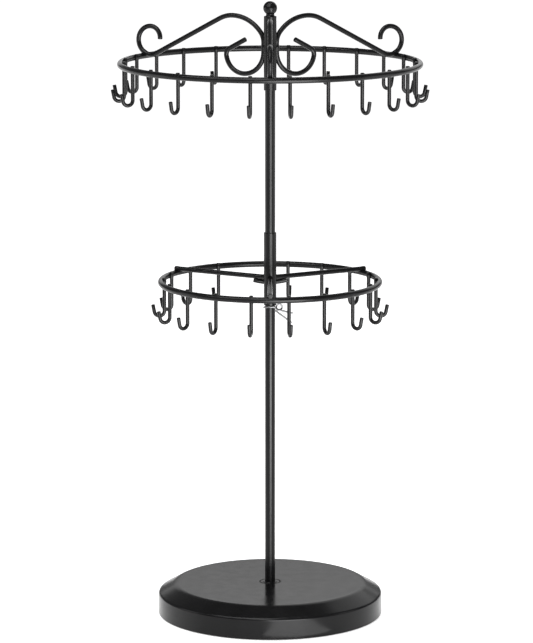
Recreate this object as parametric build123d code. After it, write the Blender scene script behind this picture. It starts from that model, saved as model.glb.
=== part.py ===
from build123d import *
import math
import os

# Two-tier necklace stand of black painted steel wire on a weighted round base.
# Millimetres. The origin is on the table under the pole, +Z is up and -Y is the front.
front = 270.0
thirds = [front, front + 120, front + 240]

# Wires are drawn with flat sides, as far apart as the round wire is thick, and bend in short straight steps.
# Only the clip's bends are true arcs.
hoop_sides = 8
wire_sides = 6
clip_sides = 5
hook_bend_step = 43.0
scroll_bend_step = 24.0
brace_bend_step = 12.0

# Base: pressed steel cover over a cast weight, on a foam pad.
base_radius = 91.5
base_height = 25.6
base_rim_height = 17.8
base_top_radius = 77.5
cover_wall = 1.0
cover_rim_break = 1.0
cover_ground_gap = 0.8
dimple_radius = 8.0
dimple_depth = 0.4
weight_side_gap = 0.5
weight_hub_radius = 30.0
pad_thickness = 2.0
pad_inset = 1.0
pad_hole_radius = 13.0
screw_pocket_depth = 9.0

# Pole: two tubes joined by an inner rod, a threaded plug in each far end and a broad screw at the base.
pole_radius = 4.0
pole_wall = 1.0
pole_top = 485.0
pole_joint_height = 287.0
plug_length = 10.0
spigot_length = 14.0
thread_radius = 2.0
thread_gap = 0.1
screw_reach = 8.0
screw_head_radius = 5.2
screw_head_height = 2.6
screw_slot_width = 1.1
screw_slot_depth = 1.3

# Finial: turned ball whose spigot stands on the pole and lets the upper tier turn under it.
ball_radius = 5.6
ball_step = 37.0
ball_centre_above_sleeve = 6.4
neck_radius = 3.1
neck_above_sleeve = 1.2
finial_foot_radius = 3.9
spigot_radius = 2.8
spigot_gap = 0.2
spigot_play = 0.3
finial_stud_reach = 8.5

# Sleeves: short tubes that carry each tier and turn on the pole.
sleeve_radius = 5.0
sleeve_bore_radius = 4.2
sleeve_length = 59.5
cap_thickness = 3.0
cap_recess = 2.2

# Rings: one closed wire hoop to each tier.
ring_wire = 4.8
upper_ring_radius = 120.0
upper_ring_drop = 38.2
lower_ring_radius = 88.3
lower_ring_drop = 40.3

# Hooks: bent wires welded upright to the inside of each ring and open outwards.
hook_wire = 2.9
hook_weld_depth = 1.2
hook_top_rise = 0.7
hook_drop = 28.2
hook_bend_radius = 4.1
hook_flare = 11.0
hook_tip_length = 6.2
upper_hook_count = 23
lower_hook_count = 17

# Scrolls: three wires from the sleeve, over a hump, down to a curl on the ring.
scroll_wire = 3.8
scroll_sleeve_bite = 0.9
scroll_ring_bite = 0.7
curl_radius = 11.6
curl_end_radius = 9.0
curl_end_turn = 98.0
curl_lean = 30.0
hump_outer_radius = 27.0
hump_inner_radius = 33.0
hump_inner_turn = 50.0
hump_heel_radius = 13.7
hump_drop = 1.0
weld_run = 7.4
bowl_inner_radius = 18.5
bowl_outer_radius = 16.4
bowl_outer_turn = 80.0
tail_bend_radius = 6.0
tail_turn = 72.0
tail_length = 16.8

# Spokes: three straight wires lying on the lower ring, with one bowed brace under the rear pair.
spoke_ring_bite = 0.9
spoke_overhang = 1.6
brace_half_span = 13.5
brace_radius = 51.5
brace_bite = 0.3

# Spring clip: one bright wire round the pole, with an eye coil and two finger arms.
clip_wire = 1.5
clip_grip_gap = 0.15
clip_tier_gap = 0.2
clip_top = 255.8
clip_side = 3.0
clip_tilt = 2.0
clip_check_step = 0.25
eye_radius = 2.3
eye_run = 2.2
eye_dip = 2.0
eye_gap = 0.9
upper_arm_length = 11.0
upper_arm_slope = 14.0
lower_arm_length = 20.0
lower_arm_slope = 37.5
arm_bend_radius = 3.0

# Heights and places that follow from the sizes above.
pole_bottom = base_height - dimple_depth
pole_bore_radius = pole_radius - pole_wall
weight_top = base_height - cover_wall
weight_shoulder_height = base_rim_height - cover_wall - weight_side_gap
cap_bottom = pole_top
cap_top = cap_bottom + cap_thickness
upper_sleeve_top = cap_top + cap_recess
upper_ring_height = upper_sleeve_top - upper_ring_drop
lower_sleeve_bottom = clip_top + clip_tier_gap
lower_sleeve_top = lower_sleeve_bottom + sleeve_length
lower_ring_height = lower_sleeve_top - lower_ring_drop
spoke_height = lower_ring_height + (ring_wire + scroll_wire) / 2 - spoke_ring_bite


def ring_of(profile_points):
    """A solid turned about the Z axis from (radius, height) points."""
    outline = Polyline(*[(r, 0, z) for r, z in profile_points], close=True)
    return revolve(make_face(outline), Axis.Z)


def rod(radius, bottom, top):
    """A round bar on the pole's axis."""
    return Pos(0, 0, bottom) * Cylinder(radius, top - bottom, align=(Align.CENTER, Align.CENTER, Align.MIN))


def tube(outer, inner, bottom, top):
    """A round tube on the pole's axis."""
    return rod(outer, bottom, top) - rod(inner, bottom, top)


def wire_section(diameter, sides=wire_sides):
    """A wire's section, with a flat side facing +X."""
    return RegularPolygon(diameter / 2, sides, major_radius=False, rotation=180 / sides)


def bent_points(start, heading, bends, step):
    """Corners of a line in the XY plane that sets off at a heading, in degrees from +X, and follows bends.

    A bend is (length, 0) for a straight run or (radius, turn) for an arc, anticlockwise for a positive turn.
    An arc becomes equal corners of at most one step, on the polygon that touches the arc from outside.
    """
    here = Vector(*start)
    points = [here]
    for size, turn in bends:
        corners = math.ceil(abs(turn) / step)
        if corners == 0:
            here += Vector(1, 0).rotate(Axis.Z, heading) * size
        for _ in range(corners):
            reach = size * math.tan(math.radians(abs(turn) / corners / 2))
            here += Vector(1, 0).rotate(Axis.Z, heading) * reach
            points.append(here)
            heading += turn / corners
            here += Vector(1, 0).rotate(Axis.Z, heading) * reach
    return points + [here]


def bent_wire(points, section):
    """A section carried along points in the XY plane, with mitred corners and its +X side to the left."""
    path = Polyline(*points)
    start = Plane(path @ 0, x_dir=(path % 0).rotate(Axis.Z, 90), z_dir=path % 0)
    return sweep(start * section, path=path, transition=Transition.RIGHT)


def upright(shape):
    """Stands a shape drawn flat in the XY plane up in the XZ plane."""
    return Rot(90, 0, 0) * shape


def hoop(radius, height, hook_count):
    """A closed ring of wire, straight across each hook place and across the middle between two."""
    corners = 2 * (hook_count + 1)
    start = Vector(radius, 0)
    corner = Vector(radius, radius * math.tan(math.pi / corners))
    points = [start, *(corner.rotate(Axis.Z, i * 360 / corners) for i in range(corners)), start]
    return Pos(0, 0, height) * bent_wire(points, wire_section(ring_wire, hoop_sides))


def upper_hoop():
    """The upper tier's ring."""
    return hoop(upper_ring_radius, upper_ring_height, upper_hook_count)


def lower_hoop():
    """The lower tier's ring."""
    return hoop(lower_ring_radius, lower_ring_height, lower_hook_count)


def sleeve(top):
    """A tier's tube, which turns on the pole."""
    return tube(sleeve_radius, sleeve_bore_radius, top - sleeve_length, top)


def base_cover():
    """The pressed cover: flat top with a dimple for the pole, sloping shoulder, broken rim and skirt."""
    slope_run = base_radius - base_top_radius
    slope_fall = base_height - base_rim_height
    inset = cover_wall * math.tan(math.atan2(slope_fall, slope_run) / 2)
    outside = Polyline(
        (0, base_height),
        (base_top_radius, base_height),
        (base_radius, base_rim_height),
        (base_radius, cover_ground_gap),
    )
    inside = Polyline(
        (base_radius - cover_wall, cover_ground_gap),
        (base_radius - cover_wall, base_rim_height - cover_wall * slope_fall / slope_run),
        (base_top_radius - inset, base_height - cover_wall),
        (0, base_height - cover_wall),
    )
    profile = make_face([outside, Line(outside @ 1, inside @ 0), inside, Line(inside @ 1, outside @ 0)])
    rim = profile.vertices().sort_by_distance((base_radius, base_rim_height))[0]
    profile = chamfer(rim, cover_rim_break)
    shell = revolve(upright(profile), Axis.Z)
    floor = (dimple_radius - dimple_depth, base_height - dimple_depth)
    shell -= ring_of([(0, floor[1]), floor, (dimple_radius, base_height), (0, base_height)])
    return shell - rod(thread_radius + thread_gap, 0, base_height)


def base_weight():
    """The cast disc inside the skirt, with a hub that holds up the cover and a pocket for the screw."""
    body = rod(base_radius - cover_wall - weight_side_gap, pad_thickness, weight_shoulder_height)
    body += rod(weight_hub_radius, pad_thickness, weight_top)
    body -= rod(pad_hole_radius - weight_side_gap, pad_thickness, pad_thickness + screw_pocket_depth)
    return body - rod(thread_radius + thread_gap, 0, weight_top)


def base_pad():
    """The foam ring that the stand rests on."""
    return tube(base_radius - cover_wall - pad_inset, pad_hole_radius, 0, pad_thickness)


def base_screw():
    """The broad-headed screw that pulls the pole down on the base, with a crossed slot."""
    seat = pad_thickness + screw_pocket_depth
    head = rod(screw_head_radius, seat - screw_head_height, seat)
    slot = Box(2 * thread_radius, screw_slot_width, 2 * screw_slot_depth)
    for turn in (0, 90):
        head -= Pos(0, 0, seat - screw_head_height) * Rot(0, 0, turn) * slot
    return head + rod(thread_radius, seat, pole_bottom + screw_reach)


def plug(bottom):
    """A threaded plug pressed into the end of a pole tube."""
    return tube(pole_bore_radius, thread_radius + thread_gap, bottom, bottom + plug_length)


def pole_coupler():
    """The rod inside both pole tubes that joins them end to end."""
    return rod(pole_bore_radius, pole_joint_height - spigot_length, pole_joint_height + spigot_length)


def finial():
    """Ball, waisted neck, foot inside the sleeve, spigot through the cap and stud into the pole."""
    ball_turn = math.degrees(math.pi - math.asin(neck_radius / ball_radius))
    ball_top = upper_sleeve_top + ball_centre_above_sleeve + ball_radius
    foot_bottom = cap_top + spigot_play
    outline = bent_points((0, ball_top), 0, [(ball_radius, -ball_turn)], ball_step) + [
        (neck_radius, upper_sleeve_top + neck_above_sleeve),
        (finial_foot_radius, upper_sleeve_top),
        (finial_foot_radius, foot_bottom),
        (spigot_radius, foot_bottom),
        (spigot_radius, pole_top),
        (thread_radius, pole_top),
        (thread_radius, pole_top - finial_stud_reach),
        (0, pole_top - finial_stud_reach),
    ]
    return revolve(upright(make_face(Polyline(*outline, close=True))), Axis.Z)


def sleeve_cap():
    """The bush fixed in the top of the upper sleeve, which rests on the pole and turns round the spigot."""
    return tube(sleeve_bore_radius, spigot_radius + spigot_gap, cap_bottom, cap_top)


def hooks(ring_radius, ring_height, count):
    """One tier's hooks, equally spaced from either side of the front, with one place at the back empty."""
    places = count + 1
    stem_radius = ring_radius - (ring_wire + hook_wire) / 2 + hook_weld_depth
    stem_top = ring_height + ring_wire / 2 + hook_top_rise
    stem_length = stem_top - (ring_height - hook_drop + hook_bend_radius)
    bends = [(stem_length, 0), (hook_bend_radius, 180 - hook_flare), (hook_tip_length, 0)]
    points = bent_points((stem_radius, stem_top), -90, bends, hook_bend_step)
    ring_part = upright(extrude(wire_section(ring_wire, hoop_sides), hook_wire, both=True))
    weld_seat = Pos(ring_radius, 0, ring_height) * ring_part
    hook = upright(bent_wire(points, wire_section(hook_wire))) - weld_seat
    turns = [front + (place + 0.5) * 360 / places for place in range(places) if place != places // 2]
    return Compound(children=[Rot(0, 0, turn) * hook for turn in turns])


def scroll():
    """One scroll in the XZ plane: tail, bowl, straight run up the sleeve, hump, slope and curl."""
    weld_radius = sleeve_radius + scroll_wire / 2 - scroll_sleeve_bite
    heel = math.radians(hump_inner_turn)
    apex_radius = weld_radius + hump_inner_radius * math.sin(heel) + hump_heel_radius * (1 - math.sin(heel))
    apex_height = upper_sleeve_top - hump_drop
    weld_top = apex_height - hump_inner_radius * (1 - math.cos(heel)) - hump_heel_radius * math.cos(heel)
    touch = curl_radius + (ring_wire + scroll_wire) / 2 - scroll_ring_bite
    curl_x = upper_ring_radius - touch * math.sin(math.radians(curl_lean))
    curl_z = upper_ring_height + touch * math.cos(math.radians(curl_lean))
    run, rise = curl_x - apex_radius, curl_z - (apex_height - hump_outer_radius)
    reach = math.hypot(run, rise)
    slope = math.degrees(math.asin((hump_outer_radius + curl_radius) / reach) - math.atan2(rise, run))
    slope_length = math.sqrt(reach**2 - (hump_outer_radius + curl_radius) ** 2)
    outwards = [
        (weld_run, 0),
        (hump_heel_radius, -(90 - hump_inner_turn)),
        (hump_inner_radius, -hump_inner_turn),
        (hump_outer_radius, -slope),
        (slope_length, 0),
        (curl_radius, 180 + slope),
        (curl_end_radius, curl_end_turn),
    ]
    inwards = [
        (bowl_inner_radius, 90),
        (bowl_outer_radius, bowl_outer_turn),
        (tail_bend_radius, tail_turn),
        (tail_length, 0),
    ]
    start = (weld_radius, weld_top - weld_run)
    inner_points = bent_points(start, -90, inwards, scroll_bend_step)
    outer_points = bent_points(start, 90, outwards, scroll_bend_step)
    wire = upright(bent_wire(inner_points[:0:-1] + outer_points[1:], wire_section(scroll_wire)))
    return wire - rod(sleeve_radius, 0, upper_sleeve_top) - upper_hoop()


def spoke():
    """One straight spoke from the lower sleeve to the top of the lower ring."""
    ends = [(0, spoke_height), (lower_ring_radius + spoke_overhang, spoke_height)]
    bar = upright(bent_wire(ends, wire_section(scroll_wire)))
    return bar - rod(sleeve_radius, 0, lower_sleeve_top) - lower_hoop()


def brace():
    """The short wire behind the sleeve, sagging in the middle and welded under the two rear spokes."""
    half_turn = math.degrees(math.asin(brace_half_span / brace_radius))
    behind = sleeve_radius + scroll_wire / 2 - brace_bite
    crossing = behind / math.tan(math.radians(thirds[1]))
    height_at_spoke = spoke_height - scroll_wire + brace_bite
    centre_height = height_at_spoke + math.sqrt(brace_radius**2 - crossing**2)
    start = (-brace_half_span, centre_height - brace_radius * math.cos(math.radians(half_turn)))
    points = bent_points(start, -half_turn, [(brace_radius, 2 * half_turn)], brace_bend_step)
    wire = Pos(0, behind, 0) * upright(bent_wire(points, wire_section(scroll_wire)))
    wire -= rod(sleeve_radius, 0, lower_sleeve_top)
    for turn in thirds[1:]:
        wire -= Rot(0, 0, turn) * spoke()
    return wire


def joined_edges(start, heading, ends):
    """Edges from point to point, tangent to each other: a line where it runs straight on, else an arc."""
    here = Vector(*start)
    direction = Vector(*heading)
    edges = []
    for point in ends:
        end = Vector(*point)
        straight = direction.get_angle(end - here) < 0.01
        edges.append(Edge.make_line(here, end) if straight else Edge.make_tangent_arc(here, direction, end))
        here = edges[-1] @ 1
        direction = edges[-1] % 1
    return edges


def clip_edges():
    """The clip's centre line: lower arm, half a turn round the pole, a dip, one turn of eye, upper arm."""
    grip = pole_radius + clip_grip_gap + clip_wire / 2
    front_height = clip_top - clip_wire / 2
    back_height = front_height - clip_tilt
    fall = math.radians(lower_arm_slope)
    droop = math.radians(upper_arm_slope)
    lower_bend_x = arm_bend_radius * math.sin(fall)
    lower_bend_z = back_height - arm_bend_radius * (1 - math.cos(fall))
    lower_tip = (
        lower_bend_x + lower_arm_length * math.cos(fall),
        grip,
        lower_bend_z - lower_arm_length * math.sin(fall),
    )
    eye_x = clip_side + 2 * eye_run
    eye_bottom = front_height - eye_dip
    eye_shift = (clip_wire + eye_gap) / 2
    eye_end_y = -grip - 2 * eye_shift
    upper_bend_x = eye_x + arm_bend_radius * math.sin(droop)
    upper_bend_z = eye_bottom - arm_bend_radius * (1 - math.cos(droop))
    ends = [
        (lower_bend_x, grip, lower_bend_z),
        (0, grip, back_height),
        (0, -grip, front_height),
        (clip_side, -grip, front_height),
        (clip_side + eye_run, -grip, front_height - eye_dip / 2),
        (eye_x, -grip, eye_bottom),
        (eye_x, -grip - eye_shift, eye_bottom + 2 * eye_radius),
        (eye_x, eye_end_y, eye_bottom),
        (upper_bend_x, eye_end_y, upper_bend_z),
        (
            upper_bend_x + upper_arm_length * math.cos(droop),
            eye_end_y,
            upper_bend_z - upper_arm_length * math.sin(droop),
        ),
    ]
    return joined_edges(lower_tip, (-math.cos(fall), 0, math.sin(fall)), ends)


def least_gap(path, diameter, apart):
    """The least clear distance from a wire to itself, between points that are so far apart along it."""
    count = round(path.length / clip_check_step)
    points = [path @ (i / count) for i in range(count + 1)]
    skip = math.ceil(apart / clip_check_step)
    return min((a - b).length for i, a in enumerate(points) for b in points[i + skip :]) - diameter


def spring_clip():
    """The bright clip that grips the pole under the lower sleeve."""
    path = Wire(clip_edges())
    gap = least_gap(path, clip_wire, math.pi * eye_radius)
    print(f"spring clip: least gap to itself {gap:.2f} mm")
    return sweep(Plane(path @ 0, z_dir=path % 0) * wire_section(clip_wire, clip_sides), path=path)


os.makedirs("parts", exist_ok=True)
parts = {
    "base_cover": base_cover(),
    "base_weight": base_weight(),
    "base_pad": base_pad(),
    "base_screw": base_screw(),
    "pole_foot_plug": plug(pole_bottom),
    "pole_lower": tube(pole_radius, pole_bore_radius, pole_bottom, pole_joint_height),
    "pole_coupler": pole_coupler(),
    "pole_upper": tube(pole_radius, pole_bore_radius, pole_joint_height, pole_top),
    "pole_top_plug": plug(pole_top - plug_length),
    "finial": finial(),
    "upper_sleeve": sleeve(upper_sleeve_top),
    "upper_sleeve_cap": sleeve_cap(),
    "upper_ring": upper_hoop(),
    "upper_hooks": hooks(upper_ring_radius, upper_ring_height, upper_hook_count),
    "spring_clip": spring_clip(),
    "lower_sleeve": sleeve(lower_sleeve_top),
    "lower_ring": lower_hoop(),
    "lower_brace": brace(),
    "lower_hooks": hooks(lower_ring_radius, lower_ring_height, lower_hook_count),
}
for name, turn in zip(("front", "right", "left"), thirds):
    parts[f"scroll_{name}"] = Rot(0, 0, turn) * scroll()
    parts[f"spoke_{name}"] = Rot(0, 0, turn) * spoke()
for name, shape in parts.items():
    export_step(shape, f"parts/{name}.step")
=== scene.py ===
"""Two-tier necklace stand: rings of hooks that turn on a pole over a weighted round base.

Dresses the fixed frame. Every new piece is a surface worked out on a grid of two parameters, and every
finish is made of nodes. Metres, with the origin on the table under the pole, +Z up and -Y to the front.
"""
import math

import bpy
import numpy as np
from bpy.props import FloatProperty, FloatVectorProperty, IntProperty, PointerProperty
from bpy.types import Operator, Panel, PropertyGroup
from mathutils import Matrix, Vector


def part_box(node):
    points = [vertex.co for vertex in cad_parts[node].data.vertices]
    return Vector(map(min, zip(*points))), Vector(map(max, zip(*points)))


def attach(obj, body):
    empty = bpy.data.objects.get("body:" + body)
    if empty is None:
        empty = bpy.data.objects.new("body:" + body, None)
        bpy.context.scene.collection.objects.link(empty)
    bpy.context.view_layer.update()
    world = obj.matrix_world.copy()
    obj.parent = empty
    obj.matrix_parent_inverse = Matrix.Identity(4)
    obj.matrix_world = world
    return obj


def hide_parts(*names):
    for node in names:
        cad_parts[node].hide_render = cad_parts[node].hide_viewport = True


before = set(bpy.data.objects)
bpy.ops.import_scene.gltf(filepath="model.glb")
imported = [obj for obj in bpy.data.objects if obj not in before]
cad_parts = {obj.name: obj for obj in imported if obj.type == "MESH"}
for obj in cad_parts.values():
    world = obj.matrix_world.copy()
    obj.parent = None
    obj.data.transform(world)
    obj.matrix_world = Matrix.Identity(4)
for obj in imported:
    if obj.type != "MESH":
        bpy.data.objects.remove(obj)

bl_info = {
    "name": "Necklace Stand",
    "version": (1, 0, 0),
    "blender": (4, 5, 0),
    "location": "View3D > Sidebar > Necklace Stand",
    "description": "Builds the visible pieces and finishes of a two-tier turning necklace stand",
    "category": "Object",
}

MM = 0.001

# Directions about the pole: the camera's side, and where the three arms of a tier point
FRONT = math.radians(270)
THIRDS = {"front": FRONT, "right": FRONT + math.radians(120), "left": FRONT + math.radians(240)}

# The longest step of a bend, the rows in the rounding of a cut end and near a weld, and the points that go
# round the pole and round a wire
ARC_STEP = math.radians(6)
END_ROWS, WELD_ROWS = 5, 15
COLUMNS = {"cover": 288, "pad": 192, "tube": 96, "finial": 96, "sleeve": 180, "ring": 320, "floor": 96}
WIRE_COLUMNS = {"ring": 28, "hook": 16, "arm": 24, "clip": 20}


def length(name, description, value):
    """A property that holds a length, given in millimetres and kept in metres."""
    return FloatProperty(
        name=name, description=description, default=value * MM, unit="LENGTH", precision=5, step=0.01
    )


def angle(name, description, value):
    """A property that holds an angle, given in degrees and kept in radians."""
    return FloatProperty(name=name, description=description, default=math.radians(value), subtype="ANGLE")


def number(name, description, value, **limits):
    """A property that holds a plain number, nought at least."""
    return FloatProperty(name=name, description=description, default=value, min=0.0, **limits)


def colour(name, description, value):
    """A property that holds a linear colour."""
    return FloatVectorProperty(
        name=name, description=description, default=value, subtype="COLOR", min=0.0, max=1.0
    )


# Sizes


class BaseSizes(PropertyGroup):
    """The round base."""

    cover_wall: length("Cover wall", "Thickness of the pressed steel cover", 1.0)
    top_radius: length("Top radius", "Where the flat top meets the shoulder", 77.5)
    rim_height: length("Rim height", "Height of the corner between shoulder and skirt", 17.8)
    shoulder_round: length("Shoulder rounding", "Radius between the flat top and the shoulder", 9.0)
    rim_round: length("Rim rounding", "Radius between the shoulder and the skirt", 2.6)
    collar_gap: length("Collar gap", "Gap between the raised collar and the pole", 0.4)
    collar_width: length("Collar width", "Width of the raised collar round the pole's foot", 1.4)
    collar_rise: length("Collar rise", "How far the collar stands above the flat top", 0.45)
    groove_radius: length("Groove radius", "Radius of the groove round the collar", 8.3)
    groove_depth: length("Groove depth", "Depth and half width of the groove", 0.7)
    hole_radius: length("Hole radius", "Radius of the hole for the screw", 2.1)
    pad_hole_radius: length("Pad hole radius", "Radius of the hole in the foam pad", 13.0)
    pad_bulge: length("Pad bulge", "Rounding of the foam pad's edges", 0.8)


class PoleSizes(PropertyGroup):
    """The pole, its ball and the sleeves."""

    bore_radius: length("Bore radius", "Inner radius of the pole's tubes", 3.0)
    tube_break: length("Tube edge", "Rounding of the tubes' ends", 0.25)
    foot_break: length("Foot edge", "Rounding of the pole's lower end", 0.8)
    ball_radius: length("Ball radius", "Radius of the finial's ball", 5.6)
    waist_radius: length("Waist radius", "Narrowest radius under the ball", 3.3)
    foot_radius: length("Foot radius", "Radius of the finial's foot inside the sleeve", 3.9)
    spigot_radius: length("Spigot radius", "Radius of the finial's spigot in the cap", 2.8)
    spigot_play: length("Spigot play", "Gap between the finial's foot and the cap", 0.3)
    stud_radius: length("Stud radius", "Radius of the stud in the pole", 2.0)
    sleeve_bore: length("Sleeve bore", "Inner radius of the sleeves", 4.2)
    sleeve_round: length("Sleeve edge", "Rounding of the sleeves' outer edges", 0.35)
    punch_radius: length("Punch radius", "Radius of the punch marks that hold the cap", 1.25)
    punch_depth: length("Punch depth", "Depth of the punch marks", 0.55)
    punch_drop: length("Punch drop", "Punch marks below the sleeve's top", 3.0)
    punch_count: IntProperty(name="Punch marks", description="Marks round the sleeve", default=3, min=0)
    punch_turn: angle("Punch turn", "Direction of the first punch mark", 248)


class WireSizes(PropertyGroup):
    """Rings, hooks, scrolls and spokes."""

    ring: length("Ring wire", "Diameter of the rings' wire", 4.8)
    hook: length("Hook wire", "Diameter of the hooks' wire", 2.9)
    scroll: length("Scroll wire", "Diameter of the scrolls' and spokes' wire", 3.8)
    enamel: length("Enamel", "Thickness of the enamel on the wires", 0.1)
    cut_round: length("Cut ends", "Rounding of the cut ends", 0.4)
    weld_swell: length("Weld swell", "How far a wire swells at a weld", 0.22)
    weld_spread: length("Weld spread", "How far the swell reaches along the wire", 1.5)


class HookSizes(PropertyGroup):
    """The J hooks."""

    upper_count: IntProperty(name="Upper hooks", description="Hooks on the upper ring", default=23, min=1)
    lower_count: IntProperty(name="Lower hooks", description="Hooks on the lower ring", default=17, min=1)
    weld_depth: length("Weld depth", "How deep the hooks sink into the ring", 1.2)
    top_rise: length("Top rise", "How far the hooks stand above the ring", 0.7)
    drop: length("Drop", "From the ring's middle to the bottom of the bend", 28.2)
    bend_radius: length("Bend radius", "Radius of the bend", 4.1)
    flare: angle("Flare", "How far the tip leans outwards", 11)
    tip: length("Tip", "Straight run at the tip", 6.2)


class ScrollSizes(PropertyGroup):
    """The three scrolls over the upper ring."""

    sleeve_bite: length("Sleeve bite", "How deep the wire sinks into the sleeve", 0.9)
    ring_bite: length("Ring bite", "How deep the curl sinks into the ring", 0.7)
    curl_radius: length("Curl radius", "Radius of the curl on the ring", 11.6)
    curl_end_radius: length("Curl end radius", "Radius of the curl's last bend", 9.0)
    curl_end_turn: angle("Curl end turn", "Turn of the curl's last bend", 98)
    curl_lean: angle("Curl lean", "Where the curl touches the ring", 30)
    hump_outer_radius: length("Hump outer radius", "Radius of the hump on the ring's side", 27.0)
    hump_inner_radius: length("Hump inner radius", "Radius of the hump on the sleeve's side", 33.0)
    hump_inner_turn: angle("Hump inner turn", "Turn of the hump on the sleeve's side", 50)
    hump_heel_radius: length("Heel radius", "Radius where the wire leaves the sleeve", 13.7)
    hump_drop: length("Hump drop", "Hump below the sleeve's top", 1.0)
    weld_run: length("Weld run", "Straight run against the sleeve", 7.4)
    bowl_inner_radius: length("Bowl inner radius", "Radius of the bowl next to the sleeve", 18.5)
    bowl_outer_radius: length("Bowl outer radius", "Radius of the bowl's far side", 16.4)
    bowl_outer_turn: angle("Bowl outer turn", "Turn of the bowl's far side", 80)
    tail_bend_radius: length("Tail bend radius", "Radius of the bend into the tail", 6.0)
    tail_turn: angle("Tail turn", "Turn of the bend into the tail", 72)
    tail: length("Tail", "Straight run at the tail", 16.8)


class SpokeSizes(PropertyGroup):
    """The spokes and the brace under the lower tier's rear pair."""

    overhang: length("Overhang", "How far a spoke reaches past the ring's middle", 1.6)
    ring_bite: length("Ring bite", "How deep a spoke sinks into the ring", 0.9)
    sleeve_bite: length("Sleeve bite", "How deep a spoke sinks into the sleeve", 0.6)
    brace_half_span: length("Brace half span", "Half the brace's width", 13.5)
    brace_radius: length("Brace radius", "Radius of the sagging brace", 51.5)
    brace_bite: length("Brace bite", "How deep the brace sinks into its neighbours", 0.3)


class ClipSizes(PropertyGroup):
    """The spring clip under the lower tier."""

    wire: length("Wire", "Diameter of the clip's wire", 1.5)
    grip_gap: length("Grip gap", "Gap between the clip and the pole", 0.15)
    side: length("Side", "Straight run beside the pole", 3.0)
    tilt: length("Tilt", "How far the back of the loop hangs lower", 2.0)
    eye_radius: length("Eye radius", "Radius of the eye coil", 2.3)
    eye_run: length("Eye run", "Half the run of the dip before the eye", 2.2)
    eye_dip: length("Eye dip", "Depth of the dip before the eye", 2.0)
    eye_gap: length("Eye gap", "Gap between the eye's turns", 0.9)
    upper_arm: length("Upper arm", "Length of the upper finger arm", 11.0)
    upper_slope: angle("Upper slope", "Slope of the upper finger arm", 14)
    lower_arm: length("Lower arm", "Length of the lower finger arm", 20.0)
    lower_slope: angle("Lower slope", "Slope of the lower finger arm", 37.5)
    arm_bend: length("Arm bend", "Bend radius at the arms' roots", 3.0)


class Finishes(PropertyGroup):
    """Colours and gloss."""

    enamel: colour("Enamel", "Black stoving enamel", (0.0032, 0.0032, 0.0034))
    enamel_thick: colour("Enamel pooled", "The enamel where it lies thicker", (0.0046, 0.0046, 0.0049))
    enamel_roughness: number("Enamel roughness", "Mean roughness of the enamel", 0.20, max=1.0)
    enamel_specular: number("Enamel specular", "Specular level of the enamel", 0.18, max=1.0)
    spring_steel: colour("Spring steel", "Plated spring wire", (0.18, 0.18, 0.185))
    zinc: colour("Zinc", "Zinc plated screw and plugs", (0.56, 0.57, 0.55))
    cement: colour("Cement", "The cast weight", (0.42, 0.40, 0.37))
    foam: colour("Foam", "The foam pad", (0.022, 0.022, 0.023))


class StageSettings(PropertyGroup):
    """Floor, lamps and camera."""

    floor: colour("Floor", "Colour of the floor", (0.95, 0.95, 0.95))
    floor_glow: number("Floor glow", "How much whiter the floor looks to the camera and in gloss", 0.72)
    world: colour("Surroundings", "Light from all round", (0.22, 0.22, 0.222))
    key_strength: number("Key", "Strength of the high soft lamp", 0.7)
    strip_strength: number("Strip", "Radiance of a panel or card whose share is 1", 9.0)
    strip_bearing: angle("Strip bearing", "How far the cards lie to the right of the front", 16)
    top_strength: number("Top", "Radiance of the bar overhead", 16.0)
    camera_distance: length("Camera distance", "From the pole to the camera", 2868.1)
    camera_height: length("Camera height", "Height of the camera", 761.6)
    camera_pitch: angle("Camera pitch", "How far the camera looks down", 10.261)
    camera_yaw: angle("Camera yaw", "How far the camera looks to the left", 0.0585)
    lens: FloatProperty(name="Lens", description="Focal length in millimetres", default=201.32, min=1.0)


class StandSettings(PropertyGroup):
    """All that a user would change."""

    base: PointerProperty(type=BaseSizes)
    pole: PointerProperty(type=PoleSizes)
    wires: PointerProperty(type=WireSizes)
    hooks: PointerProperty(type=HookSizes)
    scrolls: PointerProperty(type=ScrollSizes)
    spokes: PointerProperty(type=SpokeSizes)
    clip: PointerProperty(type=ClipSizes)
    finishes: PointerProperty(type=Finishes)
    stage: PointerProperty(type=StageSettings)


# Surfaces


def put(name, data, place=(0, 0, 0), turn=(0, 0, 0)):
    """A new object of the scene with its data, its place and its turn."""
    item = bpy.data.objects.new(name, data)
    item.location, item.rotation_euler = place, turn
    bpy.context.scene.collection.objects.link(item)
    return item


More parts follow.
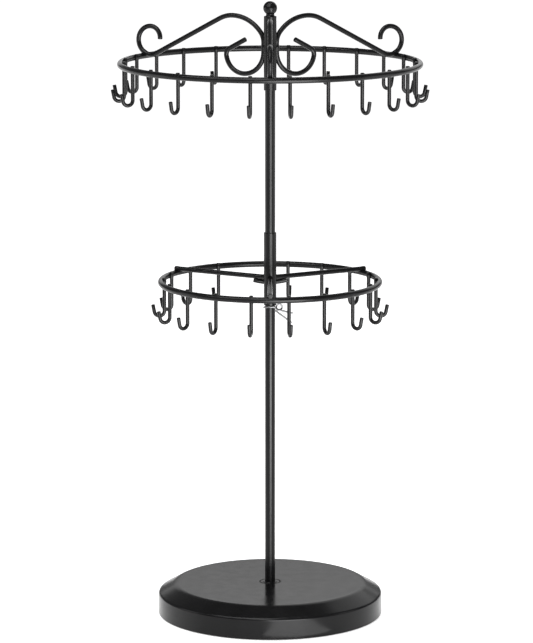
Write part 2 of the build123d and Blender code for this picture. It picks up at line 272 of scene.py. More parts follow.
def add_surface(name, points, closed=False):
    """Makes a mesh object from an array of copies x rows x columns x 3.

    Columns run round the piece and join up, rows run along it and join up too where closed is set.
    Otherwise a fan of triangles shuts each end on the middle of its row. All faces are turned round where
    the volume that they enclose, a sixth of the sum of the triple products of their triangles, comes out
    below nought.
    """
    copies, rows, columns = points.shape[:3]
    flat = points.reshape(copies, -1, 3)
    i = np.arange(rows if closed else rows - 1)[:, None]
    j = np.arange(columns)[None, :]
    after, beside = (i + 1) % rows, (j + 1) % columns
    corners = [i * columns + j, i * columns + beside, after * columns + beside, after * columns + j]
    quads = np.stack(corners, -1).reshape(-1, 4)
    fans = np.zeros((0, 3), int)
    if not closed:
        first, last = rows * columns, rows * columns + 1
        ring, end = np.arange(columns), (rows - 1) * columns
        following = (ring + 1) % columns
        heads = np.stack([np.full(columns, first), following, ring], 1)
        tails = np.stack([np.full(columns, last), end + ring, end + following], 1)
        fans = np.concatenate([heads, tails])
        ends = np.stack([points[:, 0].mean(1), points[:, -1].mean(1)], 1)
        flat = np.concatenate([flat, ends], 1)
    triangles = np.concatenate([quads[:, [0, 1, 2]], quads[:, [0, 2, 3]], fans])
    a, b, c = flat[0][triangles].transpose(1, 0, 2)
    if np.einsum("ij,ij", a, np.cross(b, c)) < 0:
        quads, fans = quads[:, ::-1], fans[:, ::-1]
    offsets = np.arange(copies)[:, None, None] * flat.shape[1]
    loops = np.concatenate([(quads + offsets).ravel(), (fans + offsets).ravel()])
    sizes = np.concatenate([np.full(copies * len(quads), 4), np.full(copies * len(fans), 3)])
    mesh = bpy.data.meshes.new(name)
    mesh.vertices.add(copies * flat.shape[1])
    mesh.vertices.foreach_set("co", flat.astype(np.float32).ravel())
    mesh.loops.add(len(loops))
    mesh.loops.foreach_set("vertex_index", loops.astype(np.int32))
    mesh.polygons.add(len(sizes))
    mesh.polygons.foreach_set("loop_start", (np.cumsum(sizes) - sizes).astype(np.int32))
    mesh.update(calc_edges=True)
    mesh.shade_smooth()
    return put(name, mesh)


def turned(profile, columns):
    """A profile of (radius, height) turned about the pole: x, y, z = radius cos a, radius sin a, height."""
    a = np.linspace(0, 2 * np.pi, columns, endpoint=False)
    radius, height = profile[:, :1], profile[:, 1:]
    grid = [radius * np.cos(a), radius * np.sin(a), height + 0 * a]
    return np.stack(grid, -1)[None]


def rounded(corners, steps=6):
    """Points of a closed outline whose corners (x, y, radius) are rounded.

    At a corner the arc starts a distance t = radius tan(half the turn) before it and ends t after it, and
    its centre lies radius / cos(half the turn) from the corner along the line that halves it. A point of
    the arc is the centre + (sin((1 - share) turn) of the spoke to its start + sin(share turn) of the spoke
    to its end) / sin turn. Two more points close beside the arc's ends keep the flats flat.
    """
    at = np.array([c[:2] for c in corners])
    share = np.linspace(0, 1, steps)[:, None]
    out = []
    for k, (x, y, radius) in enumerate(corners):
        here = np.array([x, y])
        back, ahead = at[k - 1] - here, at[(k + 1) % len(at)] - here
        back, ahead = back / np.linalg.norm(back), ahead / np.linalg.norm(ahead)
        turn = np.pi - math.acos(float(np.clip(back @ ahead, -1, 1)))
        t = radius * math.tan(turn / 2)
        middle = (back + ahead) / np.linalg.norm(back + ahead)
        centre = here + middle * radius / math.cos(turn / 2)
        start, end = here + back * t - centre, here + ahead * t - centre
        arc = (np.sin((1 - share) * turn) * start + np.sin(share * turn) * end) / math.sin(turn)
        beside = min(0.15 * radius, 0.1 * MM)
        out += [here + back * (t + beside), *(centre + arc), here + ahead * (t + beside)]
    return np.array(out)


def tube_outline(outer, bore, low, high, edge, foot_edge=None):
    """The rounded outline of a tube's wall. Its outer edge at the foot may have a rounding of its own."""
    foot = (outer, low, foot_edge or edge)
    return rounded([foot, (outer, high, edge), (bore, high, edge), (bore, low, edge)])


def bent_path(start, heading, bends):
    """Points, in a plane, of a line that sets off from start at a heading and follows the bends.

    A bend is (length, 0) for a straight run or (radius, turn) for an arc. The arc's centre lies one radius
    to the side that it turns to, and a point is the centre plus the spoke to the arc's start turned by a
    share of the turn.
    """
    points = [np.array([start], float)]
    for size, turn in bends:
        here = points[-1][-1]
        ahead = np.array([math.cos(heading), math.sin(heading)])
        if turn == 0:
            points.append(here[None] + size * ahead)
            continue
        spoke = math.copysign(size, turn) * np.array([ahead[1], -ahead[0]])
        a = np.linspace(0, turn, math.ceil(abs(turn) / ARC_STEP) + 1)[1:, None]
        points.append(here - spoke + np.cos(a) * spoke + np.sin(a) * np.array([-spoke[1], spoke[0]]))
        heading += turn
    return np.concatenate(points)


def stood_up(points):
    """Points (radius, height) stood up over the X axis: x = radius, y = 0, z = height."""
    return np.stack([points[:, 0], 0 * points[:, 0], points[:, 1]], 1)


def round_wire(path, square, diameter, cut_round, columns, welds=(), swell=0.0, spread=1.0):
    """Rows of points of a round wire with rounded cut ends.

    Along the path the normal is the direction crossed with square, a direction that the path never takes,
    and the binormal is the direction crossed with the normal. A point is the centre + r (normal cos a +
    binormal sin a). At a weld r grows by a bell curve of the distance along the path, and at the ends it
    shrinks along a quarter circle. Rows stand at the path's own points, near the welds and inside long
    straight runs.
    """
    steps = np.linalg.norm(np.diff(path, axis=0), axis=1)
    along = np.concatenate([[0], np.cumsum(steps)])
    total = along[-1]
    quarter = np.linspace(0, np.pi / 2, END_ROWS)
    rise = cut_round * (1 - np.cos(quarter))
    near = [w + spread * np.linspace(-3, 3, WELD_ROWS) for w in welds]
    straight = [np.linspace(along[k], along[k + 1], 5)[1:-1] for k in np.flatnonzero(steps > 4 * diameter)]
    body = np.concatenate([along, *near, *straight])
    body = np.unique(np.round(body[(body > cut_round) & (body < total - cut_round)], 6))
    s = np.concatenate([[0], rise, body, total - rise[::-1], [total]])
    r = np.full(len(s), diameter / 2)
    r += swell * sum(np.exp(-(((s - w) / spread) ** 2)) for w in welds)
    inset = cut_round * (1 - np.sin(quarter))
    r[1 : END_ROWS + 1] -= inset
    r[-END_ROWS - 1 : -1] -= inset[::-1]
    r[[0, -1]] = 0.7 * r[[1, -2]]
    centre = np.stack([np.interp(s, along, path[:, k]) for k in range(3)], 1)
    ahead = np.stack([np.interp(s, along, np.gradient(path[:, k], along)) for k in range(3)], 1)
    ahead /= np.linalg.norm(ahead, axis=1, keepdims=True)
    normal = np.cross(ahead, square)
    normal /= np.linalg.norm(normal, axis=1, keepdims=True)
    binormal = np.cross(ahead, normal)
    a = np.linspace(0, 2 * np.pi, columns, endpoint=False)[None, :, None]
    return centre[:, None] + r[:, None, None] * (normal[:, None] * np.cos(a) + binormal[:, None] * np.sin(a))


def painted_wire(path, diameter, kind, welds=()):
    """A round wire under its coat of enamel, on a path that never runs along Y."""
    wires = bpy.context.scene.necklace_stand.wires
    columns, across = WIRE_COLUMNS[kind], diameter + 2 * wires.enamel
    swell, spread = wires.weld_swell, wires.weld_spread
    return round_wire(path, (0, 1, 0), across, wires.cut_round, columns, welds, swell, spread)


def turned_copies(points, turns):
    """Copies of rows of points, each turned by its own angle: x cos - y sin, x sin + y cos, z."""
    c, s = np.cos(turns)[:, None, None], np.sin(turns)[:, None, None]
    x, y, z = points[..., 0], points[..., 1], points[..., 2]
    return np.stack([c * x - s * y, s * x + c * y, z + 0 * c], -1)


def ring_line(tier):
    """Radius and height of the line along the middle of a tier's ring."""
    low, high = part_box(f"{tier}_ring")
    return high.x - bpy.context.scene.necklace_stand.wires.ring / 2, (low.z + high.z) / 2


# Finishes


def new_finish(name):
    """An empty node material: its tree and its main shader."""
    material = bpy.data.materials.new(name)
    material.use_nodes = True
    return material, material.node_tree, material.node_tree.nodes["Principled BSDF"]


def fix(node, values):
    """Sets a node's own input sockets, each under its name or number."""
    for socket, value in values.items():
        node.inputs[socket].default_value = value


def add_node(tree, kind, fixed=None, linked=None):
    """A new node with fixed values and links, each under its input socket's name or number."""
    node = tree.nodes.new(kind)
    fix(node, fixed or {})
    for socket, source in (linked or {}).items():
        tree.links.new(source, node.inputs[socket])
    return node


def on_piece(tree, kind, fixed):
    """A texture node on the piece's own coordinates."""
    place = add_node(tree, "ShaderNodeTexCoord").outputs["Object"]
    return add_node(tree, kind, fixed, {"Vector": place})


def noise(tree, scale, detail):
    """A noise value with so many grains to the metre."""
    return on_piece(tree, "ShaderNodeTexNoise", {"Scale": scale, "Detail": detail}).outputs[0]


def clouded(tree, shader, value, first, second):
    """Gives the shader a colour that goes from first to second as a value rises from 0.35 to 0.65."""
    ramp = add_node(tree, "ShaderNodeValToRGB", linked={"Fac": value})
    for stop, position, paint in zip(ramp.color_ramp.elements, (0.35, 0.65), (first, second)):
        stop.position, stop.color = position, (*paint, 1)
    tree.links.new(ramp.outputs["Color"], shader.inputs["Base Color"])


def hazed(tree, shader, value, low, high):
    """Gives the shader a roughness that goes from low to high as a value rises from 0.3 to 0.7."""
    span = {"From Min": 0.3, "From Max": 0.7, "To Min": low, "To Max": high}
    spread = add_node(tree, "ShaderNodeMapRange", span, {"Value": value})
    tree.links.new(spread.outputs["Result"], shader.inputs["Roughness"])


def bumped(tree, shader, *layers):
    """Feeds the shader's normal from layers of (value, strength, depth in metres), each on the last."""
    below = {}
    for value, strength, depth in layers:
        fixed = {"Strength": strength, "Distance": depth}
        bump = add_node(tree, "ShaderNodeBump", fixed, {"Height": value, **below})
        below = {"Normal": bump.outputs["Normal"]}
    tree.links.new(below["Normal"], shader.inputs["Normal"])


def shade_of(paint, share):
    """A colour with each part times a share, and 1 at most."""
    return tuple(min(1.0, share * part) for part in paint)


def enamel_finish(tree, shader, wanted):
    """Black stoving enamel: near black, half gloss, with a faint orange peel and slightly uneven gloss."""
    clouded(tree, shader, noise(tree, 60, 3), wanted.enamel, wanted.enamel_thick)
    mean, stray = wanted.enamel_roughness, 0.03
    hazed(tree, shader, noise(tree, 110, 4), mean - stray, mean + stray)
    fix(shader, {"Specular IOR Level": wanted.enamel_specular})
    bumped(tree, shader, (noise(tree, 260, 1), 0.06, 0.03 * MM))


def spring_finish(tree, shader, wanted):
    """Bright plated spring wire with a faint haze."""
    fix(shader, {"Metallic": 1.0})
    clouded(tree, shader, noise(tree, 700, 3), shade_of(wanted.spring_steel, 0.82), wanted.spring_steel)
    hazed(tree, shader, noise(tree, 1500, 3), 0.14, 0.26)
    bumped(tree, shader, (noise(tree, 2500, 2), 0.08, 0.01 * MM))


def zinc_finish(tree, shader, wanted):
    """Zinc plating: a dull metal with soft yellow clouds."""
    fix(shader, {"Metallic": 1.0})
    warm = (wanted.zinc[0], wanted.zinc[1] * 0.95, wanted.zinc[2] * 0.82)
    clouded(tree, shader, noise(tree, 300, 3), wanted.zinc, warm)
    hazed(tree, shader, noise(tree, 900, 4), 0.3, 0.45)
    bumped(tree, shader, (noise(tree, 1800, 3), 0.15, 0.02 * MM))


def cement_finish(tree, shader, wanted):
    """Cast cement: sandy colour, small pits and a rough skin."""
    clouded(tree, shader, noise(tree, 220, 6), shade_of(wanted.cement, 0.7), wanted.cement)
    fix(shader, {"Roughness": 0.9, "Specular IOR Level": 0.3})
    pits, skin = (noise(tree, 500, 5), 0.5, 0.4 * MM), (noise(tree, 2200, 3), 0.4, 0.1 * MM)
    bumped(tree, shader, pits, skin)


def foam_finish(tree, shader, wanted):
    """Closed-cell foam: matt, nearly black, with fine pores whose pits are painted darker as shade."""
    pores = on_piece(tree, "ShaderNodeTexVoronoi", {"Scale": 1600}).outputs["Distance"]
    # Painted shade: the pits of the pores, low in the bump, are coloured darker and the ridges between them
    # lighter.
    clouded(tree, shader, pores, wanted.foam, shade_of(wanted.foam, 1.8))
    fix(shader, {"Roughness": 0.85, "Sheen Weight": 0.1})
    bumped(tree, shader, (pores, 0.6, 0.15 * MM))


FINISHES = {
    "black_paint": ("black_enamel", enamel_finish),
    "spring_steel": ("spring_steel", spring_finish),
    "zinc_steel": ("zinc_plate", zinc_finish),
    "cement": ("cast_cement", cement_finish),
    "foam": ("foam", foam_finish),
}
made_finishes = {}


def finish_of(slot):
    """The finish that stands for a material slot, made when it is first asked for."""
    if slot not in made_finishes:
        name, make = FINISHES[slot]
        made_finishes[slot], tree, shader = new_finish(name)
        make(tree, shader, bpy.context.scene.necklace_stand.finishes)
    return made_finishes[slot]


def dress(piece, body, node, slot="black_paint"):
    """Gives a new piece its finish, sets it on its body and lets it stand for its node."""
    piece.data.materials.append(finish_of(slot))
    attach(piece, body)
    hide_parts(node)


def three_arms(arm, name, body, node):
    """Makes three copies of an arm about the pole, each for its own node."""
    for side, turn in THIRDS.items():
        piece = add_surface(f"{side}_{name}", turned_copies(arm[None], np.array([turn])))
        dress(piece, body, f"{node}_{side}")


def refinish(node, slot):
    """Gives a node of the frame a better finish."""
    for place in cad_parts[node].material_slots:
        place.material = finish_of(slot)


# Pieces


class STAND_OT_base_cover(Operator):
    """Makes the pressed cover of the base"""

    bl_idname = "stand.base_cover"
    bl_label = "Base cover"

    def execute(self, context):
        sizes = context.scene.necklace_stand.base
        low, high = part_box("base_cover")
        radius, top, foot, wall = high.x, high.z, low.z, sizes.cover_wall
        fall, run = top - sizes.rim_height, radius - sizes.top_radius
        inset = wall * math.tan(math.atan2(fall, run) / 2)
        pole_low, pole_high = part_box("pole_lower")
        collar, dimple = pole_high.x + sizes.collar_gap, pole_low.z
        collar_end, collar_top = collar + sizes.collar_width, top + sizes.collar_rise
        groove, dip = sizes.groove_radius, sizes.groove_depth
        edge, lip, hem = 0.1 * MM, 0.15 * MM, 0.4 * MM
        # From the hole up to the collar, over the groove, down the skirt and back along the inside
        corners = [
            (sizes.hole_radius, dimple, edge),
            (collar, dimple, lip),
            (collar, collar_top, lip),
            (collar_end, collar_top, 2 * lip),
            (collar_end + sizes.collar_rise / 2, top, lip),
            (groove - dip, top, lip),
            (groove, top - dip, lip),
            (groove + dip, top, lip),
            (sizes.top_radius, top, sizes.shoulder_round),
            (radius, sizes.rim_height, sizes.rim_round),
            (radius, foot, hem),
            (radius - wall, foot, hem),
            (radius - wall, sizes.rim_height - wall * fall / run, sizes.rim_round - wall / 2),
            (sizes.top_radius - inset, top - wall, sizes.shoulder_round - wall),
            (sizes.hole_radius, top - wall, edge),
        ]
        outline = rounded(corners, steps=9)
        cover = add_surface("pressed_cover", turned(outline, COLUMNS["cover"]), closed=True)
        dress(cover, "stand", "base_cover")
        return {"FINISHED"}


class STAND_OT_foam_pad(Operator):
    """Makes the foam pad under the base"""

    bl_idname = "stand.foam_pad"
    bl_label = "Foam pad"

    def execute(self, context):
        sizes = context.scene.necklace_stand.base
        low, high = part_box("base_pad")
        outline = tube_outline(high.x, sizes.pad_hole_radius, low.z, high.z, sizes.pad_bulge)
        pad = add_surface("foam_pad", turned(outline, COLUMNS["pad"]), closed=True)
        dress(pad, "stand", "base_pad", "foam")
        return {"FINISHED"}


class STAND_OT_hardware(Operator):
    """Gives the weight, the screw and the hidden plugs their finishes"""

    bl_idname = "stand.hardware"
    bl_label = "Weight, screw and plugs"

    def execute(self, context):
        refinish("base_weight", "cement")
        for node in ("base_screw", "pole_foot_plug", "pole_coupler", "pole_top_plug"):
            refinish(node, "zinc_steel")
        refinish("upper_sleeve_cap", "black_paint")
        return {"FINISHED"}


class STAND_OT_pole(Operator):
    """Makes the two tubes of the pole"""

    bl_idname = "stand.pole"
    bl_label = "Pole"

    def execute(self, context):
        sizes = context.scene.necklace_stand.pole
        enamel = context.scene.necklace_stand.wires.enamel
        edge = sizes.tube_break
        for part, foot_edge in (("lower", sizes.foot_break), ("upper", edge)):
            low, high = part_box(f"pole_{part}")
            outline = tube_outline(high.x + enamel, sizes.bore_radius, low.z, high.z, edge, foot_edge)
            tube = add_surface(f"{part}_tube", turned(outline, COLUMNS["tube"]), closed=True)
            dress(tube, "stand", f"pole_{part}")
        return {"FINISHED"}


class STAND_OT_finial(Operator):
    """Makes the turned ball on top of the pole"""

    bl_idname = "stand.finial"
    bl_label = "Finial"

    def execute(self, context):
        sizes = context.scene.necklace_stand.pole
        low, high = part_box("finial")
        sleeve_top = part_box("upper_sleeve")[1].z
        foot_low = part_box("upper_sleeve_cap")[1].z + sizes.spigot_play
        pole_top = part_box("pole_upper")[1].z
        ball, waist, foot = sizes.ball_radius, sizes.waist_radius, sizes.foot_radius
        neck_end, bevel = 0.1 * MM, 0.3 * MM
        # The ball's arc runs from beside its top down to the waist
        a = np.linspace(0.02, math.pi - math.asin(waist / ball), 40)
        ball_points = np.stack([ball * np.sin(a), high.z - ball + ball * np.cos(a)], 1)
        # The neck widens with the cube of the way down to the sleeve
        share = np.linspace(0, 1, 14)[1:]
        neck_top, neck_low = ball_points[-1, 1], sleeve_top + neck_end
        widening = (foot - bevel - waist) * share**3
        neck = np.stack([waist + widening, neck_top + (neck_low - neck_top) * share], 1)
        spigot, stud = sizes.spigot_radius, sizes.stud_radius
        steps = [(foot, sleeve_top - bevel), (foot, foot_low), (spigot, foot_low), (spigot, pole_top)]
        steps += [(stud, pole_top), (stud, low.z)]
        profile = np.concatenate([ball_points, neck, np.array(steps)])
        finial = add_surface("ball_finial", turned(profile, COLUMNS["finial"]))
        dress(finial, "stand", "finial")
        return {"FINISHED"}


class STAND_OT_sleeves(Operator):
    """Makes the two sleeves that carry the tiers, the upper one with punch marks"""

    bl_idname = "stand.sleeves"
    bl_label = "Sleeves"

    def execute(self, context):
        sizes = context.scene.necklace_stand.pole
        enamel = context.scene.necklace_stand.wires.enamel
        for tier in ("upper", "lower"):
            low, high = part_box(f"{tier}_sleeve")
            radius, marks = high.x + enamel, high.z - sizes.punch_drop
            outline = tube_outline(radius, sizes.sleeve_bore, low.z, high.z, sizes.sleeve_round)
            if tier == "upper":
                outline = self.with_rows(outline, radius, marks, sizes.punch_radius)
            points = turned(outline, COLUMNS["sleeve"])
            if tier == "upper":
                points = self.punched(points, sizes, radius, marks)
            sleeve = add_surface(f"{tier}_tube_sleeve", points, closed=True)
            dress(sleeve, f"{tier}_tier", f"{tier}_sleeve")
        return {"FINISHED"}

    def with_rows(self, outline, radius, height, punch):
        """Adds rows to the outer wall near the punch marks, which stand in for its one long face."""
        wall = np.flatnonzero(np.isclose(outline[:, 0], radius))
        gap = wall[np.argmax(np.diff(outline[wall, 1]))]
        below, above, rows = 3 * punch, 1.86 * punch, 26
        heights = np.linspace(-below, above, rows) + height
        extra = np.stack([np.full(rows, radius), heights], 1)
        return np.concatenate([outline[: gap + 1], extra, outline[gap + 1 :]])

    def punched(self, points, sizes, radius, height):
        """Presses the outer wall in by a flat bell, exp(-(distance / radius)^4), round each mark."""
        x, y, z = points[..., 0], points[..., 1], points[..., 2]
        out, turn = np.hypot(x, y), np.arctan2(y, x)
        depth = np.zeros_like(out)
        for k in range(sizes.punch_count):
            off = turn - sizes.punch_turn - k * 2 * np.pi / sizes.punch_count
            side = radius * (np.mod(off + np.pi, 2 * np.pi) - np.pi)
            away = np.hypot(side, z - height) / sizes.punch_radius
            depth += sizes.punch_depth * np.exp(-(away**4))
        share = 1 - np.where(out > radius - 0.1 * MM, depth, 0) / out
        return np.stack([x * share, y * share, z], -1)


class STAND_OT_rings(Operator):
    """Makes the two wire rings"""

    bl_idname = "stand.rings"
    bl_label = "Rings"

    def execute(self, context):
        wires = context.scene.necklace_stand.wires
        wire = wires.ring / 2 + wires.enamel
        a = np.linspace(0, 2 * np.pi, WIRE_COLUMNS["ring"], endpoint=False)
        # The wire's round section, turned about the pole
        for tier in ("upper", "lower"):
            radius, height = ring_line(tier)
            section = np.stack([radius + wire * np.cos(a), height + wire * np.sin(a)], 1)
            ring = add_surface(f"{tier}_wire_ring", turned(section, COLUMNS["ring"]), closed=True)
            dress(ring, f"{tier}_tier", f"{tier}_ring")
        return {"FINISHED"}


class STAND_OT_hooks(Operator):
    """Makes both tiers' hooks, each tier with one place left empty at the back"""

    bl_idname = "stand.hooks"
    bl_label = "Hooks"

    def execute(self, context):
        stand = context.scene.necklace_stand
        hooks, wires = stand.hooks, stand.wires
        # A hook is a stem, a bend and a leaning tip
        for tier, count in (("upper", hooks.upper_count), ("lower", hooks.lower_count)):
            ring_radius, height = ring_line(tier)
            stem_radius = ring_radius - (wires.ring + wires.hook) / 2 + hooks.weld_depth
            top = height + wires.ring / 2 + hooks.top_rise
            stem = top - (height - hooks.drop + hooks.bend_radius)
            bends = [(stem, 0), (hooks.bend_radius, math.pi - hooks.flare), (hooks.tip, 0)]
            path = stood_up(bent_path((stem_radius, top), -math.pi / 2, bends))
            one = painted_wire(path, wires.hook, "hook", [top - height])
            places = count + 1
            taken = np.delete(np.arange(places), places // 2)
            turns = FRONT + (taken + 0.5) * 2 * np.pi / places
            group = add_surface(f"{tier}_wire_hooks", turned_copies(one[None], turns))
            dress(group, f"{tier}_tier", f"{tier}_hooks")
        return {"FINISHED"}


class STAND_OT_scrolls(Operator):
    """Makes the three scrolls from the sleeve, over a hump, down to a curl on the ring"""

    bl_idname = "stand.scrolls"
    bl_label = "Scrolls"

    def execute(self, context):
        stand = context.scene.necklace_stand
        path, welds = self.path(stand.scrolls, stand.wires)
        scroll = painted_wire(stood_up(path), stand.wires.scroll, "arm", welds)
        three_arms(scroll, "wire_scroll", "upper_tier", "scroll")
        return {"FINISHED"}

    def path(self, sizes, wires):
        """The scroll's line as (radius, height), and how far along it the welds are.

        The straight slope touches the hump and the curl on opposite sides: it falls by the angle whose
        sine is the sum of their radii over the distance between their centres, less the angle of the line
        between them.
        """
        ring_radius, ring_height = ring_line("upper")
        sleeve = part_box("upper_sleeve")[1]
        start_radius = sleeve.x + wires.scroll / 2 - sizes.sleeve_bite
        heel, rise_radius = sizes.hump_inner_turn, sizes.hump_inner_radius
        apex_radius = start_radius + rise_radius * math.sin(heel)
        apex_radius += sizes.hump_heel_radius * (1 - math.sin(heel))
        apex_height = sleeve.z - sizes.hump_drop
        heel_fall = rise_radius * (1 - math.cos(heel)) + sizes.hump_heel_radius * math.cos(heel)
        touch = sizes.curl_radius + (wires.ring + wires.scroll) / 2 - sizes.ring_bite
        curl_x = ring_radius - touch * math.sin(sizes.curl_lean)
        curl_z = ring_height + touch * math.cos(sizes.curl_lean)
        run, rise = curl_x - apex_radius, curl_z - (apex_height - sizes.hump_outer_radius)
        reach, both = math.hypot(run, rise), sizes.hump_outer_radius + sizes.curl_radius
        slope = math.asin(both / reach) - math.atan2(rise, run)
        slope_length = math.sqrt(reach**2 - both**2)
        outwards = [
            (sizes.weld_run, 0),
            (sizes.hump_heel_radius, heel - math.pi / 2),
            (rise_radius, -heel),
            (sizes.hump_outer_radius, -slope),
            (slope_length, 0),
            (sizes.curl_radius, math.pi + slope),
            (sizes.curl_end_radius, sizes.curl_end_turn),
        ]
        inwards = [
            (sizes.bowl_inner_radius, math.pi / 2),
            (sizes.bowl_outer_radius, sizes.bowl_outer_turn),
            (sizes.tail_bend_radius, sizes.tail_turn),
            (sizes.tail, 0),
        ]
        start = (start_radius, apex_height - heel_fall - sizes.weld_run)
        inner = bent_path(start, -math.pi / 2, inwards)[::-1]
        outer = bent_path(start, math.pi / 2, outwards)
        inner_length = np.linalg.norm(np.diff(inner, axis=0), axis=1).sum()
        to_curl = sum(size * (abs(turn) or 1) for size, turn in outwards[:5])
        on_ring = sizes.curl_radius * (slope + sizes.curl_lean)
        welds = [inner_length + sizes.weld_run / 2, inner_length + to_curl + on_ring]
        return np.concatenate([inner, outer[1:]]), welds


class STAND_OT_spokes(Operator):
    """Makes the three spokes of the lower tier and the brace under the rear pair"""

    bl_idname = "stand.spokes"
    bl_label = "Spokes and brace"

    def execute(self, context):
        stand = context.scene.necklace_stand
        sizes, wires = stand.spokes, stand.wires
        ring_radius, ring_height = ring_line("lower")
        sleeve_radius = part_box("lower_sleeve")[1].x
        height = ring_height + (wires.ring + wires.scroll) / 2 - sizes.ring_bite
        inner, outer = sleeve_radius - sizes.sleeve_bite, ring_radius + sizes.overhang
        path = np.array([[inner, 0, height], [outer, 0, height]])
        spoke = painted_wire(path, wires.scroll, "arm", [sizes.sleeve_bite, ring_radius - inner])
        three_arms(spoke, "wire_spoke", "lower_tier", "spoke")
        brace = painted_wire(self.brace_path(sizes, wires, sleeve_radius, height), wires.scroll, "arm")
        dress(add_surface("wire_brace", brace[None]), "lower_tier", "lower_brace")
        return {"FINISHED"}

    def brace_path(self, sizes, wires, sleeve_radius, spoke_height):
        """The line of the brace, on an arc behind the sleeve that sags in the middle.

        It passes one wire below the rear spokes, and the arc's centre lies above the sleeve: at a distance
        x from the middle the wire is at the centre's height less the root of radius squared less x squared.
        """
        half_turn = math.asin(sizes.brace_half_span / sizes.brace_radius)
        behind = sleeve_radius + wires.scroll / 2 - sizes.brace_bite
        crossing = behind / math.tan(THIRDS["right"])
        at_spoke = spoke_height - wires.scroll + sizes.brace_bite
        centre = at_spoke + math.sqrt(sizes.brace_radius**2 - crossing**2)
        start = (-sizes.brace_half_span, centre - sizes.brace_radius * math.cos(half_turn))
        arc = bent_path(start, -half_turn, [(sizes.brace_radius, 2 * half_turn)])
        return np.stack([arc[:, 0], np.full(len(arc), behind), arc[:, 1]], 1)


class STAND_OT_spring_clip(Operator):
    """Makes the bright spring clip under the lower tier"""

    bl_idname = "stand.spring_clip"
    bl_label = "Spring clip"

    def execute(self, context):
        sizes = context.scene.necklace_stand.clip
        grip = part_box("pole_lower")[1].x + sizes.grip_gap + sizes.wire / 2
        tier_gap, cut_round = 0.2 * MM, 0.3 * MM
        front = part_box("lower_sleeve")[0].z - tier_gap - sizes.wire / 2
        back = front - sizes.tilt
        fall, droop, bend = sizes.lower_slope, sizes.upper_slope, sizes.arm_bend
        root_x, root_z = bend * math.sin(fall), back - bend * (1 - math.cos(fall))
        eye_x, eye_low = sizes.side + 2 * sizes.eye_run, front - sizes.eye_dip
        shift = (sizes.wire + sizes.eye_gap) / 2
        end_y = -grip - 2 * shift
        arm_x, arm_z = eye_x + bend * math.sin(droop), eye_low - bend * (1 - math.cos(droop))
        tip = (root_x + sizes.lower_arm * math.cos(fall), grip, root_z - sizes.lower_arm * math.sin(fall))
        stops = [
            (root_x, grip, root_z),
            (0, grip, back),
            (0, -grip, front),
            (sizes.side, -grip, front),
            (sizes.side + sizes.eye_run, -grip, front - sizes.eye_dip / 2),
            (eye_x, -grip, eye_low),
            (eye_x, -grip - shift, eye_low + 2 * sizes.eye_radius),
            (eye_x, end_y, eye_low),
            (arm_x, end_y, arm_z),
            (arm_x + sizes.upper_arm * math.cos(droop), end_y, arm_z - sizes.upper_arm * math.sin(droop)),
        ]
        path = self.through(tip, (-math.cos(fall), 0, math.sin(fall)), stops)
        square = np.array([0, 1, 1]) / math.sqrt(2)
        wire = round_wire(path, square, sizes.wire, cut_round, WIRE_COLUMNS["clip"])
        dress(add_surface("bright_clip", wire[None]), "clip", "spring_clip", "spring_steel")
        return {"FINISHED"}

    def through(self, start, direction, stops):
        """Points through the stops, each reached by the arc that leaves the last one without a kink.

        The arc turns by twice the angle between its direction and its chord, its radius is the chord
        squared over twice the chord's part square to the direction, and a point is the start + radius
        (sin a along the direction + (1 - cos a) towards that side).
        """
        here, ahead, barely = np.array(start), np.array(direction), 1e-7
        runs = [here[None]]
        for stop in stops:
            chord = np.array(stop) - here
            aside = chord - (chord @ ahead) * ahead
            width = np.linalg.norm(aside)
            if width < barely:
                runs.append(np.array([stop]))
            else:
                turn = 2 * math.atan2(width, chord @ ahead)
                a = np.linspace(0, turn, math.ceil(turn / ARC_STEP) + 1)[1:, None]
                radius = chord @ chord / (2 * width)
                runs.append(here + radius * (np.sin(a) * ahead + (1 - np.cos(a)) * aside / width))
                ahead = math.cos(turn) * ahead + math.sin(turn) * aside / width
            here = runs[-1][-1]
        return np.concatenate(runs)


# Stage


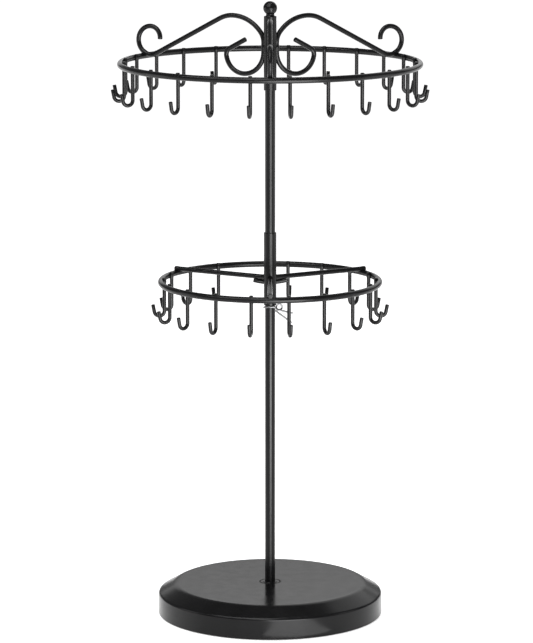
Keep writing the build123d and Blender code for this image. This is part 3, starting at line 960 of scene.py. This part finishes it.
class STAND_OT_stage(Operator):
    """Lays the floor, hangs the lamps and sets up the camera"""

    bl_idname = "stand.stage"
    bl_label = "Stage"

    def execute(self, context):
        scene = context.scene
        wanted = scene.necklace_stand.stage
        scene.view_settings.view_transform = "Standard"
        self.floor(wanted)
        self.lamps(wanted)
        # An even grey all round
        scene.world = bpy.data.worlds.new("surroundings")
        scene.world.use_nodes = True
        fix(scene.world.node_tree.nodes["Background"], {"Color": (*wanted.world, 1)})
        lens = bpy.data.cameras.new("camera")
        lens.lens = wanted.lens
        place = (0, -wanted.camera_distance, wanted.camera_height)
        turn = (math.pi / 2 - wanted.camera_pitch, 0, wanted.camera_yaw)
        scene.camera = put("camera", lens, place, turn)
        return {"FINISHED"}

    def floor(self, wanted):
        """A wide pale slab with a faint unevenness, its top just under the pad.

        To the camera and in reflections some white is added to it, so that it reads as a white background.
        """
        top, underside, radii = -0.05 * MM, -20 * MM, (0.001, 0.2, 1.0, 4.0, 20.0)
        profile = np.array([*((radius, top) for radius in radii), (radii[-1], underside)])
        floor = add_surface("floor", turned(profile, COLUMNS["floor"]))
        floor.data.shade_flat()
        material, tree, shader = new_finish("floor")
        clouded(tree, shader, noise(tree, 9, 3), wanted.floor, shade_of(wanted.floor, 1.01))
        fix(shader, {"Roughness": 0.3, "Specular IOR Level": 0.3, "Emission Color": (1, 1, 1, 1)})
        path = add_node(tree, "ShaderNodeLightPath")
        seen = path.outputs["Is Camera Ray"]
        for kind in ("Is Glossy Ray", "Is Transmission Ray"):
            either = add_node(tree, "ShaderNodeMath", linked={0: seen, 1: path.outputs[kind]})
            either.operation = "MAXIMUM"
            seen = either.outputs[0]
        glow = add_node(tree, "ShaderNodeMath", {1: wanted.floor_glow}, {0: seen})
        glow.operation = "MULTIPLY"
        tree.links.new(glow.outputs[0], shader.inputs["Emission Strength"])
        floor.data.materials.append(material)

    def lamps(self, wanted):
        """A high soft lamp, upright panels, a long bar overhead and cards that lie face up on the floor.

        A bearing is counted from the camera's side of the stand towards the right, and a share is a share
        of the strip's strength. The foot cards lie one over the other beside the base. The floor cards
        follow each other away from it, and their length and width grow with their distance, so that they
        span one angle.
        """
        sun = bpy.data.lights.new("key", "SUN")
        softness, lean, to_left = math.radians(24), math.radians(30), math.radians(10)
        sun.energy, sun.angle = wanted.key_strength, softness
        put("key", sun, turn=(lean, 0, -to_left))
        strength, strip = wanted.strip_strength, wanted.strip_bearing
        for name, bearing, away, width, foot, tall, share in (
            ("right_panel", 84, 0.9, 0.40, 0.12, 0.50, 0.12),
            ("left_panel", -90, 0.9, 0.40, 0.12, 0.50, 0.16),
            ("back_panel", 180, 2.2, 1.8, 0.48, 0.50, 0.070),
            ("high_panel", 156, 2.2, 2.3, 0.9, 2.2, 0.10),
            ("key_panel", -30, 1.8, 2.0, 1.3, 2.2, 0.36),
            ("front_panel", math.degrees(strip), 0.6, 0.40, 0.005, 0.12, 1.2),
        ):
            turn = FRONT + math.radians(bearing)
            place = (away * math.cos(turn), away * math.sin(turn), foot + tall / 2)
            facing = Vector((-place[0], -place[1], 0)).to_track_quat("-Z", "Y").to_euler()
            self.panel(name, place, facing, width, tall, share * strength)
        bar, aim = Vector((-0.42, -0.14, 1.61)), Vector((0, 0, 0.5))
        bar_width, bar_length = 0.07, 2.1
        facing = (aim - bar).to_track_quat("-Z", "Y").to_euler()
        self.panel("top_bar", bar, facing, bar_width, bar_length, wanted.top_strength)
        foot, start, growth, spread, share = 0.095, 0.17, 2.2, 0.33, 0.34
        for k, width in enumerate((0.018, 0.042, 0.070)):
            self.card(f"foot_card_{k}", FRONT + strip, foot, start, width, share * strength)
        for k in range(5):
            end, share = start * growth, 0.40 + 0.27 * k
            width = spread * (start + end)
            self.card(f"floor_card_{k}", FRONT + strip, start, end, width, share * strength)
            start = end

    def card(self, name, turn, start, end, width, radiance):
        """A panel that lies face up just over the floor, from one distance to another."""
        middle, height = (start + end) / 2, 2 * MM
        place = (middle * math.cos(turn), middle * math.sin(turn), height)
        self.panel(name, place, (math.pi, 0, turn + math.pi / 2), width, end - start, radiance)

    def panel(self, name, place, facing, width, tall, radiance):
        """A panel lamp at a place, with a facing, that gives the same radiance whatever its size."""
        light = bpy.data.lights.new(name, "AREA")
        light.shape = "RECTANGLE"
        light.size, light.size_y = width, tall
        light.energy = radiance * math.pi * width * tall
        put(name, light, place, facing).visible_camera = False


STEPS = (
    STAND_OT_base_cover,
    STAND_OT_foam_pad,
    STAND_OT_hardware,
    STAND_OT_pole,
    STAND_OT_finial,
    STAND_OT_sleeves,
    STAND_OT_rings,
    STAND_OT_hooks,
    STAND_OT_scrolls,
    STAND_OT_spokes,
    STAND_OT_spring_clip,
    STAND_OT_stage,
)


class VIEW3D_PT_necklace_stand(Panel):
    """Lists the pieces in the sidebar"""

    bl_label = bl_category = "Necklace Stand"
    bl_space_type = "VIEW_3D"
    bl_region_type = "UI"

    def draw(self, context):
        for step in STEPS:
            self.layout.operator(step.bl_idname)


SIZES = (BaseSizes, PoleSizes, WireSizes, HookSizes, ScrollSizes, SpokeSizes, ClipSizes)
CLASSES = (*SIZES, Finishes, StageSettings, StandSettings, *STEPS, VIEW3D_PT_necklace_stand)


def register():
    """Registers the classes and hangs the settings on the scene."""
    for each in CLASSES:
        bpy.utils.register_class(each)
    bpy.types.Scene.necklace_stand = PointerProperty(type=StandSettings)


def unregister():
    """Undoes register."""
    del bpy.types.Scene.necklace_stand
    for each in reversed(CLASSES):
        bpy.utils.unregister_class(each)


def main():
    """Builds the stand step by step."""
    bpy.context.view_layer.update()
    register()
    for step in STEPS:
        getattr(bpy.ops.stand, step.bl_idname.split(".")[1])()


if __name__ == "__main__":
    main()
